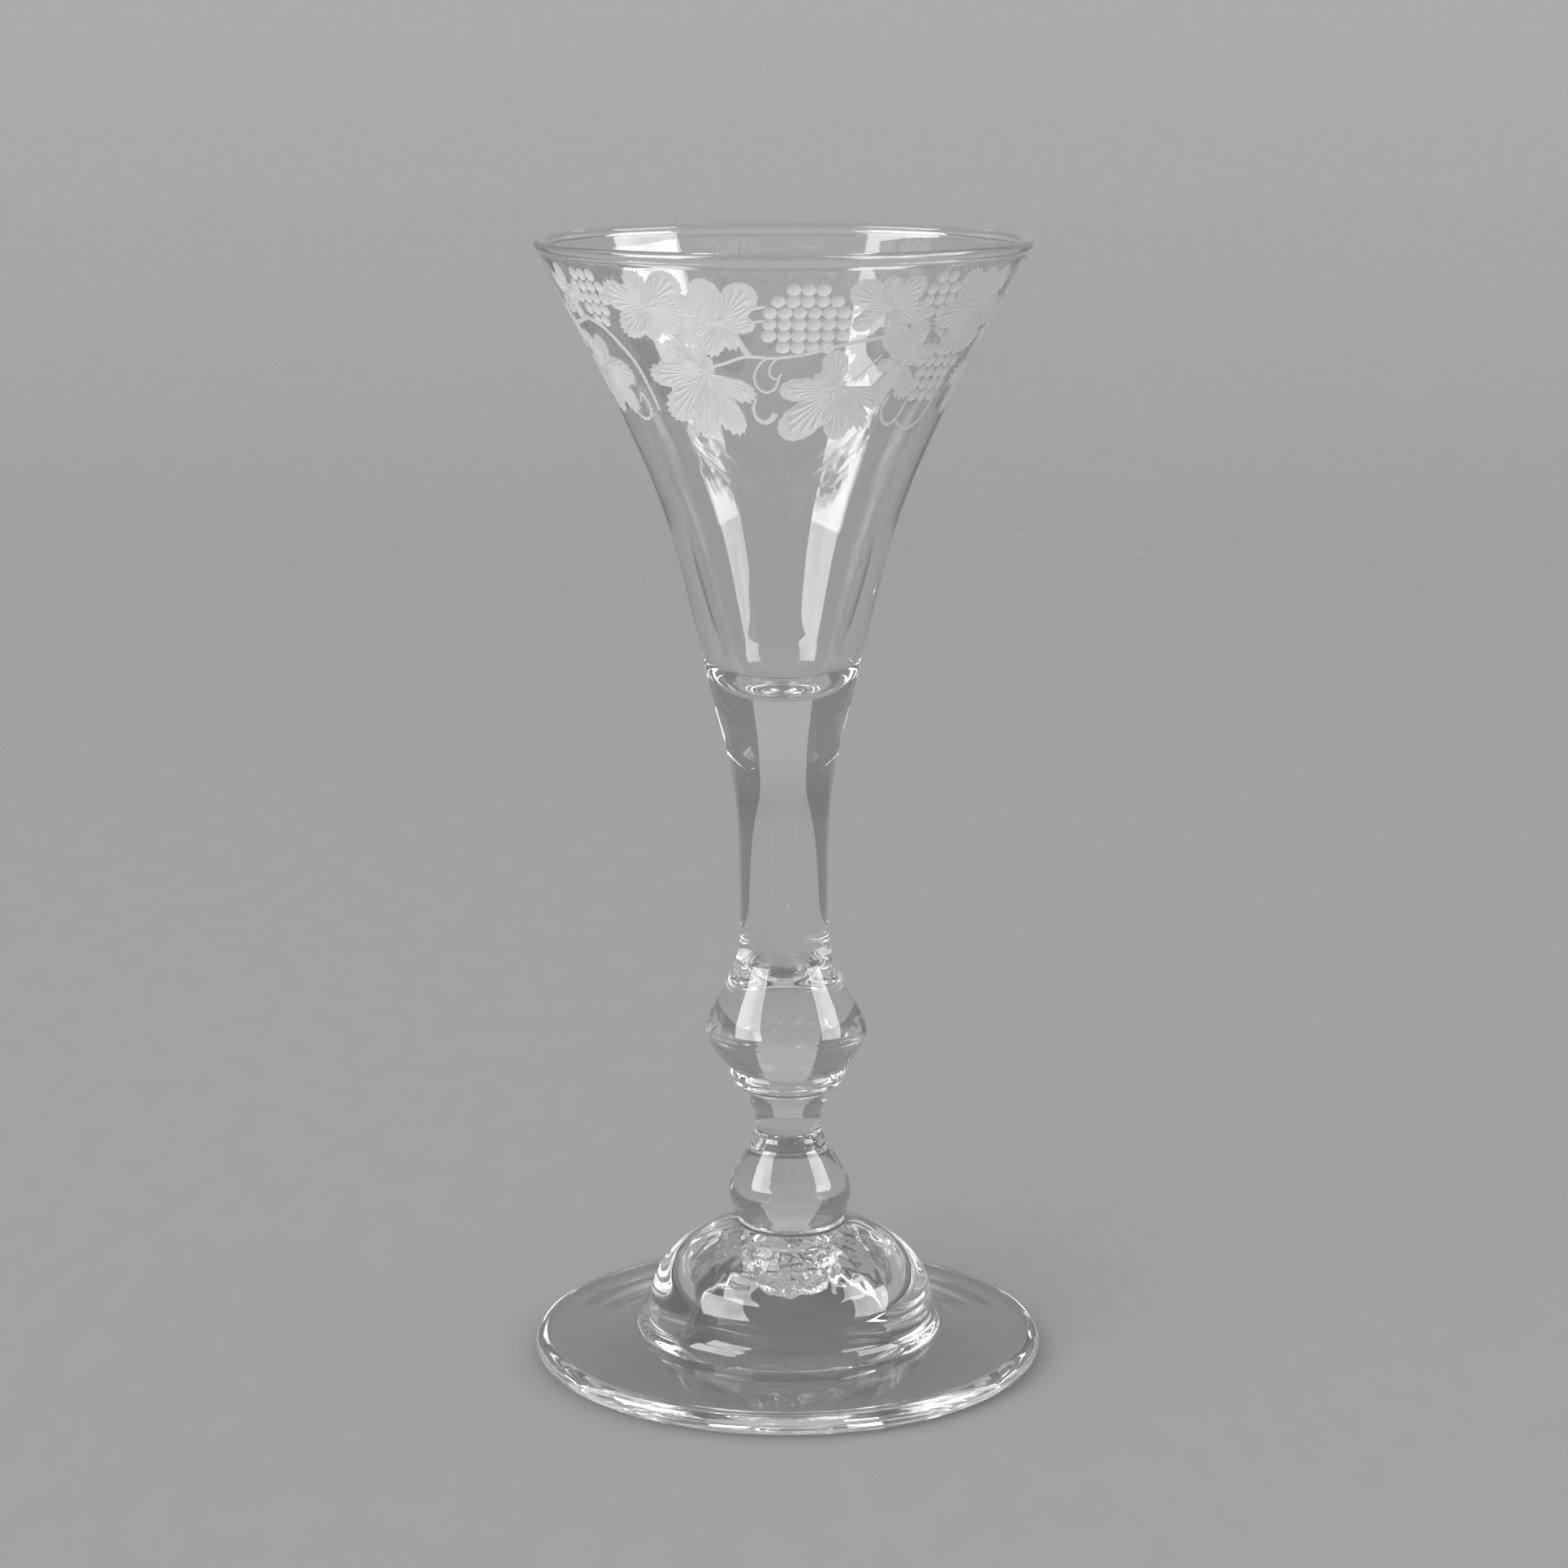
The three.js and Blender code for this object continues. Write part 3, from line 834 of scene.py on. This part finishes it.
class Plan:
    """The flat plan of the frieze: points with a depth, and the closed shapes that are cut matt."""

    def __init__(self, surface):
        self.surface = surface
        self.low_v = surface.v_at(FRIEZE_LOW_Z)
        self.high_v = surface.v_at(FRIEZE_HIGH_Z)
        self.width = 2 * math.pi * FRIEZE_RADIUS
        self.points = []
        self.depths = []
        self.edges = []
        self.shapes = []

    def add(self, u, v, depth):
        """A point that is drawn, or with no depth, one of the uncut surface."""
        if depth is not None:
            u = min(max(u, PLAN_MARGIN), self.width - PLAN_MARGIN)
            v = min(max(v, self.low_v + PLAN_MARGIN), self.high_v - PLAN_MARGIN)
        self.points.append((u, v))
        self.depths.append(depth)
        return len(self.points) - 1

    def place(self, angle, z):
        """A place on the bowl, as plan coordinates."""
        turned = (angle - SEAM_ANGLE) % 360
        return math.radians(turned) * FRIEZE_RADIUS, self.surface.v_at(z)

    def local(self, origin, x, y, depth):
        """A point x to the right and y up from the origin, true to size on the surface there."""
        u, v = origin
        radius = self.surface.at(v + y)[0]
        return self.add(u + x * FRIEZE_RADIUS / radius, v + y, depth)

    def loop(self, ids, is_shape):
        """Closes a ring of points. A shape has to run anticlockwise."""
        self.edges += list(zip(ids, ids[1:] + ids[:1]))
        if is_shape:
            corners = [self.points[i] for i in ids]
            area = sum(a[0] * b[1] - b[0] * a[1] for a, b in zip(corners, corners[1:] + corners[:1]))
            self.shapes.append(ids if area > 0 else ids[::-1])

    def leaf(self, angle, z, lobes):
        origin = self.place(angle, z)
        outline, inner = leaf_edges(lobes)
        self.loop([self.local(origin, *polar(r, a), 0.0) for r, a in outline], True)
        self.loop([self.local(origin, *polar(r, a), CUT_DEPTH) for r, a in inner], False)
        for vein in leaf_veins(lobes):
            self.vein(origin, [np.array(polar(r, a)) for r, a in vein])

    def vein(self, origin, middle):
        """A narrow cut along a line: its middle lies deeper than its two edges."""
        rows = {-1: [], 0: [], 1: []}
        for i, point in enumerate(middle):
            across = rightward(middle, i) * VEIN_HALF_WIDTH
            for side, row in rows.items():
                x, y = point + side * across
                row.append(self.local(origin, x, y, VEIN_DEPTH if side == 0 else CUT_DEPTH))
        for row in rows.values():
            self.edges += list(zip(row, row[1:]))

    def berry(self, origin, x, y, radius):
        for share, depth_share, count in BERRY_RINGS:
            ids = []
            for k in range(count):
                turn = 2 * math.pi * k / count
                right, up = radius * share * math.cos(turn), radius * share * math.sin(turn)
                ids.append(self.local(origin, x + right, y + up, BERRY_DEPTH * depth_share))
            self.loop(ids, share == 1.0)
        self.local(origin, x, y, BERRY_DEPTH)

    def bunch(self, angle, z, rows, lean, chance):
        origin = self.place(angle, z)
        step = BERRY_STEP * BERRY_RADIUS
        for level, count in enumerate(rows):
            for k in range(count):
                x = (k - (count - 1) / 2) * step
                y = ((len(rows) - 1) / 2 - level) * step * ROW_STEP_SHARE
                heading = math.degrees(math.atan2(x, y)) + lean
                x, y = polar(math.hypot(x, y), heading)
                self.berry(origin, x, y, BERRY_RADIUS * chance.uniform(*BERRY_SIZES))

    def stalk(self, first_width, last_width, knots):
        """A thin cut with a deeper middle that follows a smooth curve through its knots."""
        course = [np.array(p) for p in smooth([self.place(angle, z) for angle, z in knots], STALK_STEPS)]
        left, middle, right = [], [], []
        for i, point in enumerate(course):
            half = lerp(first_width, last_width, i / (len(course) - 1)) / 2
            across = rightward(course, i)
            left.append(self.add(*(point - across * half), 0.0))
            right.append(self.add(*(point + across * half), 0.0))
            middle.append(self.add(*point, STALK_DEPTH))
        self.loop(left + right[::-1], True)
        self.edges += list(zip(middle[1:-1], middle[2:-1]))


def draw_frieze(plan):
    """Draws all stalks, bunches and leaves."""
    chance = random.Random(7)
    for stalk in STALKS:
        plan.stalk(*stalk)
    for bunch in BUNCHES:
        plan.bunch(*bunch, chance)
    for leaf in LEAVES:
        plan.leaf(*leaf)
    for angle, z, reach, turn in FURTHER_LEAVES:
        plan.leaf(angle, z, [(heading + turn, share * reach * chance.uniform(*LOBE_SIZES), width, teeth)
                             for heading, share, width, teeth in WHOLE_LEAF])


def add_clear_grid(plan):
    """Adds points of the uncut surface where nothing is drawn, and all round the plan's edge."""
    drawn = point_tree([(u, v, 0) for u, v in plan.points])
    for row in range(FRIEZE_ROWS + 1):
        for side in range(SIDES + 1):
            u, v = plan.width * side / SIDES, lerp(plan.low_v, plan.high_v, row / FRIEZE_ROWS)
            on_edge = row in (0, FRIEZE_ROWS) or side in (0, SIDES)
            if on_edge or drawn.find((u, v, 0))[2] > GRID_GAP:
                plan.add(u, v, None)


def frieze_band(surface):
    """Points, faces, slots and uncut normals of the band of the bowl with the frieze."""
    plan = Plan(surface)
    draw_frieze(plan)
    add_clear_grid(plan)
    corners = [Vector(point) for point in plan.points]
    points, _, faces, from_points, _, from_shapes = delaunay_2d_cdt(
        corners, plan.edges, plan.shapes, WHOLE_HULL, PLAN_EPSILON, True)
    clear, matt = GLASS_SLOTS.index(CLEAR), GLASS_SLOTS.index(ENGRAVED)
    slots = [matt if shapes else clear for shapes in from_shapes]
    touches_clear = set()
    for face, slot in zip(faces, slots):
        if slot == clear:
            touches_clear.update(face)
    placed = []
    normals = []
    for i, (u, v) in enumerate(points):
        wanted = [plan.depths[k] for k in from_points[i] if plan.depths[k] is not None]
        if i in touches_clear:
            depth = 0.0
        elif wanted:
            depth = max(max(wanted), OVERLAP_DEPTH)
        else:
            depth = CUT_DEPTH
        angle = u / FRIEZE_RADIUS - 2 * math.pi * SEAM_SIDE / SIDES
        radial, upward = surface.normal(v)
        radius, z = surface.at(v)
        radius -= depth * radial
        z -= depth * upward
        placed.append((radius * math.sin(angle), -radius * math.cos(angle), z))
        normals.append(Vector((radial * math.sin(angle), -radial * math.cos(angle), upward)))
    return placed, faces, slots, normals


# Bowl.

def cavity_side(surface, lip_z):
    """The cavity's side from low to high, a wall's thickness inside the bowl's skin."""
    side = []
    for rise in np.linspace(0, 1, CAVITY_STEPS + 1)[:-1]:
        z = lerp(CAVITY_FLOOR_Z + CAVITY_FLOOR_ROUNDING, lip_z, rise)
        wall = lerp(RIM_WALL, CAVITY_FLOOR_WALL, (1 - rise) ** 2)
        side.append((surface.at(surface.v_at(z))[0] - wall, z))
    return side


def cavity_floor(side):
    """A round floor that carries on the slope at the foot of the cavity's side."""
    (r0, z0), (r1, z1) = side[0], side[1]
    corner = (r0 - (r1 - r0) / (z1 - z0) * (z0 - CAVITY_FLOOR_Z), CAVITY_FLOOR_Z)
    return cove(side[0], corner, (0, CAVITY_FLOOR_Z), steps=20)


def make_bowl():
    half_wall = RIM_WALL / 2
    rim_centre = (RIM_RADIUS - half_wall, RIM_Z - half_wall)
    flare_top, lip = arc(rim_centre, half_wall, half_wall, -45, 180, steps=1)
    bead = arc((RIM_RADIUS - BEAD_HALF_WIDTH, RIM_Z - BEAD_HALF_HEIGHT), BEAD_HALF_WIDTH, BEAD_HALF_HEIGHT,
               BEAD_START, BEAD_END, steps=30)
    waist = (SHANK_RADIUS, BOWL_Z + SHANK_WAIST_HEIGHT)
    shank_corner = (SHANK_RADIUS, BOWL_Z + SHANK_WAIST_CORNER)
    shank = cove((WELD_RADII[-1], BOWL_Z), shank_corner, waist, steps=12)
    through = [(lerp(waist[0], flare_top[0], out), lerp(waist[1], flare_top[1], up)) for out, up in FLARE]
    flare = smooth([waist, *through, flare_top], steps=10)
    surface = Surface(flare)
    below = [p for p in flare if p[1] < FRIEZE_LOW_Z - FRIEZE_SKIN_GAP]
    below.append(surface.at(surface.v_at(FRIEZE_LOW_Z)))
    neck_z = RIM_Z - BEAD_NECK_DROP
    neck = (surface.at(surface.v_at(neck_z))[0] - BEAD_NECK_DEPTH, neck_z)
    above = smooth([surface.at(surface.v_at(FRIEZE_HIGH_Z)), neck, bead[0]])
    inside = [p for p in cavity_side(surface, lip[1]) if p[1] < bead[-1][1] - CAVITY_BEAD_GAP]
    shell = Shell()
    shell.turn([(WELD, [(0, BOWL_Z), (WELD_RADII[-1], BOWL_Z)]), (CLEAR, shank + below)])
    upper = Shell()
    upper.turn([(CLEAR, above + bead[1:] + inside[::-1] + cavity_floor(inside))])
    shell.join(upper.points, upper.faces, upper.slots)
    *band, normals = frieze_band(surface)
    first = shell.join(*band)
    for seeds in BOWL_SEEDS:
        scatter_seeds(shell, *seeds)
    renamed = weld_points(shell)
    even_normals = {renamed[first + i]: normal for i, normal in enumerate(normals)}
    shell.build("turned_bowl", "bowl", even_normals)


# Studio. Lengths are in metres, and angles in degrees.

# Two sheets that rise into a backdrop: (y, half width) from front to back, and how far they lie under
# the foot.
SHEET_EDGES = [(-12.0, 3.0), (-0.12, 0.13), (0.9, 0.36)]
SHEET_DROP = 0.00005
WIDE_SHEET_EDGES = [(-12.0, 12.0), (0.9, 12.0)]
WIDE_SHEET_DROP = 0.00008
SHEET_TOP = 4.0
BEND = 1.8
BEND_STEPS = 39
WIDENING = 0.22

# Tone of the sheets, how far their grain strays from it, and the share of it that glass shows.
FLOOR_TONE = (0.43, 0.43, 0.422)
FLOOR_GRAIN = (0.97, 1.03)
FLOOR_GRAIN_SCALE = 900
FLOOR_ROUGHNESS = 0.9
SURROUND_IN_GLASS = 0.5

# Levels of the room's light, on the floor and as glass shows it, and the rise where the ceiling starts
# and is full.
ROOM_ON_FLOOR = 0.62
ROOM_IN_GLASS = 0.14
CEILING_IN_GLASS = 0.5
CEILING_RISE = (0.45, 0.85)

# The way to one of the two bright sides, how far they are tilted up, how narrow, and how bright.
BRIGHT_SIDES = (-0.52, -0.81)
BRIGHT_SIDES_RISE = 0.28
BRIGHT_SIDES_FOCUS = 6
BRIGHT_SIDES_LEVEL = 2.3

# Soft boxes. Their corners, low inner, low outer, high outer and high inner, are elevations and
# azimuths seen from BOX_AIM_Z on the axis, azimuths from the camera's side.
LEFT_BOX = [(20, -35), (12, -77), (36, -96), (50, -55)]
RIGHT_BOX = [(19, 54), (12, 84), (35, 107), (48, 68)]
BOX_AIM_Z = 0.05
BOX_DISTANCE = 2.5
BOX_STEPS = 8
BOX_RADIANCE = 8.5
BOX_UNEVENNESS = (0.72, 1.12)
CLOTH_SCALE = 2.2
CLOTH_DETAIL = 1
CLOTH_RANGE = (0.3, 0.7)

CAMERA_PLACE = (-0.00055, -0.5743, 0.2121)
CAMERA_TILT = 11.87
CAMERA_LENS = 87.45
CAMERA_SENSOR = 36

BOUNCES = 40


def pale_material(name, share_in_glass):
    """A matt sheet. Glass shows it at some share of its tone."""
    material, tree = new_material(name)
    grain = add_node(tree, "ShaderNodeTexNoise", {"Scale": FLOOR_GRAIN_SCALE}).outputs["Fac"]
    dark, light = ((*(c * level for c in FLOOR_TONE), 1) for level in FLOOR_GRAIN)
    tone = add_node(tree, "ShaderNodeMix", {"Factor": grain, "A": dark, "B": light}, data_type="RGBA")
    shade = add_node(tree, "ShaderNodeVectorMath", {
        0: tone.outputs["Result"],
        "Scale": map_range(tree, seen_in_glass(tree), 1, share_in_glass),
    }, operation="SCALE")
    feed(tree, tree.nodes["Principled BSDF"], {
        "Base Color": shade.outputs["Vector"],
        "Roughness": FLOOR_ROUGHNESS,
    })
    return material


def make_sweep(name, edges, drop, share_in_glass):
    """A pale floor that curves up into a backdrop."""
    outline = [(y, 0.0, half_width) for y, half_width in edges]
    start, half_width = edges[-1]
    for a in np.linspace(0, math.pi / 2, BEND_STEPS + 1)[1:]:
        y = start + BEND * math.sin(a)
        outline.append((y, BEND - BEND * math.cos(a), half_width + (y - start) * WIDENING))
    outline.append((outline[-1][0], SHEET_TOP, outline[-1][2]))
    points = [(side * half, y + drop, z - drop) for y, z, half in outline for side in (-1, 1)]
    faces = [(2 * i, 2 * i + 1, 2 * i + 3, 2 * i + 2) for i in range(len(outline) - 1)]
    mesh = new_mesh(name, points, faces, [pale_material(name, share_in_glass)])
    mesh.polygons.foreach_set("use_smooth", [True] * len(faces))
    sweep = link_object(name, mesh)


def make_studio():
    """One sheet about as wide as the view, and a wide one around it that glass shows darker."""
    make_sweep("sheet", SHEET_EDGES, SHEET_DROP, 1.0)
    make_sweep("wide_sheet", WIDE_SHEET_EDGES, WIDE_SHEET_DROP, SURROUND_IN_GLASS)


def box_material(name):
    """The slightly uneven glow of a soft box, for the glass alone."""
    material, tree = new_material(name)
    tree.nodes.remove(tree.nodes["Principled BSDF"])
    place = tree.nodes.new("ShaderNodeTexCoord").outputs["Generated"]
    cloth = add_node(tree, "ShaderNodeTexNoise", {
        "Vector": place,
        "Scale": CLOTH_SCALE,
        "Detail": CLOTH_DETAIL,
    })
    levels = [share * BOX_RADIANCE for share in BOX_UNEVENNESS]
    level = map_range(tree, cloth.outputs["Fac"], *levels, *CLOTH_RANGE)
    clean = before_any_floor(tree, tree.nodes.new("ShaderNodeLightPath"))
    strength = node_math(tree, "MULTIPLY", clean, level)
    glow = add_node(tree, "ShaderNodeEmission", {"Color": (1, 1, 1, 1), "Strength": strength})
    feed(tree, tree.nodes["Material Output"], {"Surface": glow.outputs["Emission"]})
    return material


def make_box(name, corners):
    low_inner, low_outer, high_outer, high_inner = (np.radians(corner) for corner in corners)
    points = []
    for rise in np.linspace(0, 1, BOX_STEPS + 1):
        inner, outer = lerp(low_inner, high_inner, rise), lerp(low_outer, high_outer, rise)
        for across in np.linspace(0, 1, BOX_STEPS + 1):
            elevation, azimuth = lerp(inner, outer, across)
            points.append((BOX_DISTANCE * math.sin(azimuth), -BOX_DISTANCE * math.cos(azimuth),
                           BOX_AIM_Z + BOX_DISTANCE * math.tan(elevation)))
    faces = []
    for row in range(BOX_STEPS):
        for column in range(BOX_STEPS):
            corner = row * (BOX_STEPS + 1) + column
            above = corner + BOX_STEPS + 1
            faces.append((corner, corner + 1, above + 1, above))
    panel = link_object(name, new_mesh(name, points, faces, [box_material(name)]))
    panel.visible_camera = False
    panel.visible_diffuse = False
    panel.visible_shadow = False


def bright_sides(tree, place, height):
    """Brightness that peaks low on two opposite sides of the room."""
    along = add_node(tree, "ShaderNodeVectorMath", {0: place, 1: (*BRIGHT_SIDES, 0)}, operation="DOT_PRODUCT")
    level_part = node_math(tree, "ABSOLUTE", along.outputs["Value"], 0)
    rise_part = node_math(tree, "MULTIPLY", height, BRIGHT_SIDES_RISE)
    toward = node_math(tree, "MAXIMUM", node_math(tree, "ADD", level_part, rise_part), 0)
    return node_math(tree, "POWER", toward, BRIGHT_SIDES_FOCUS)


def make_room():
    """Light for the floor, with two softly brighter sides, and a darker room for the glass to show."""
    world = bpy.data.worlds.new("room")
    bpy.context.scene.world = world
    world.use_nodes = True
    tree = world.node_tree
    place = tree.nodes.new("ShaderNodeTexCoord").outputs["Generated"]
    height = add_node(tree, "ShaderNodeSeparateXYZ", {"Vector": place}).outputs["Z"]
    in_glass = seen_in_glass(tree)
    ceiling = map_range(tree, height, ROOM_IN_GLASS, CEILING_IN_GLASS, *CEILING_RISE)
    base = map_range(tree, in_glass, ROOM_ON_FLOOR, ceiling)
    side_level = map_range(tree, in_glass, BRIGHT_SIDES_LEVEL, 0)
    sides = node_math(tree, "MULTIPLY", bright_sides(tree, place, height), side_level)
    strength = node_math(tree, "ADD", base, sides)
    feed(tree, tree.nodes["Background"], {"Color": (1, 1, 1, 1), "Strength": strength})


def make_camera():
    data = bpy.data.cameras.new("camera")
    data.sensor_width = CAMERA_SENSOR
    data.lens = CAMERA_LENS
    camera = link_object("camera", data)
    camera.location = CAMERA_PLACE
    camera.rotation_euler = (math.radians(90 - CAMERA_TILT), 0, 0)
    bpy.context.scene.camera = camera


make_camera()
make_foot()
make_pontil_boss()
make_stem()
make_bowl()
make_studio()
make_room()
make_box("left_box", LEFT_BOX)
make_box("right_box", RIGHT_BOX)

scene = bpy.context.scene
scene.view_settings.view_transform = "Standard"
scene.cycles.max_bounces = BOUNCES
scene.cycles.glossy_bounces = BOUNCES
scene.cycles.transmission_bounces = BOUNCES
scene.cycles.transparent_max_bounces = BOUNCES
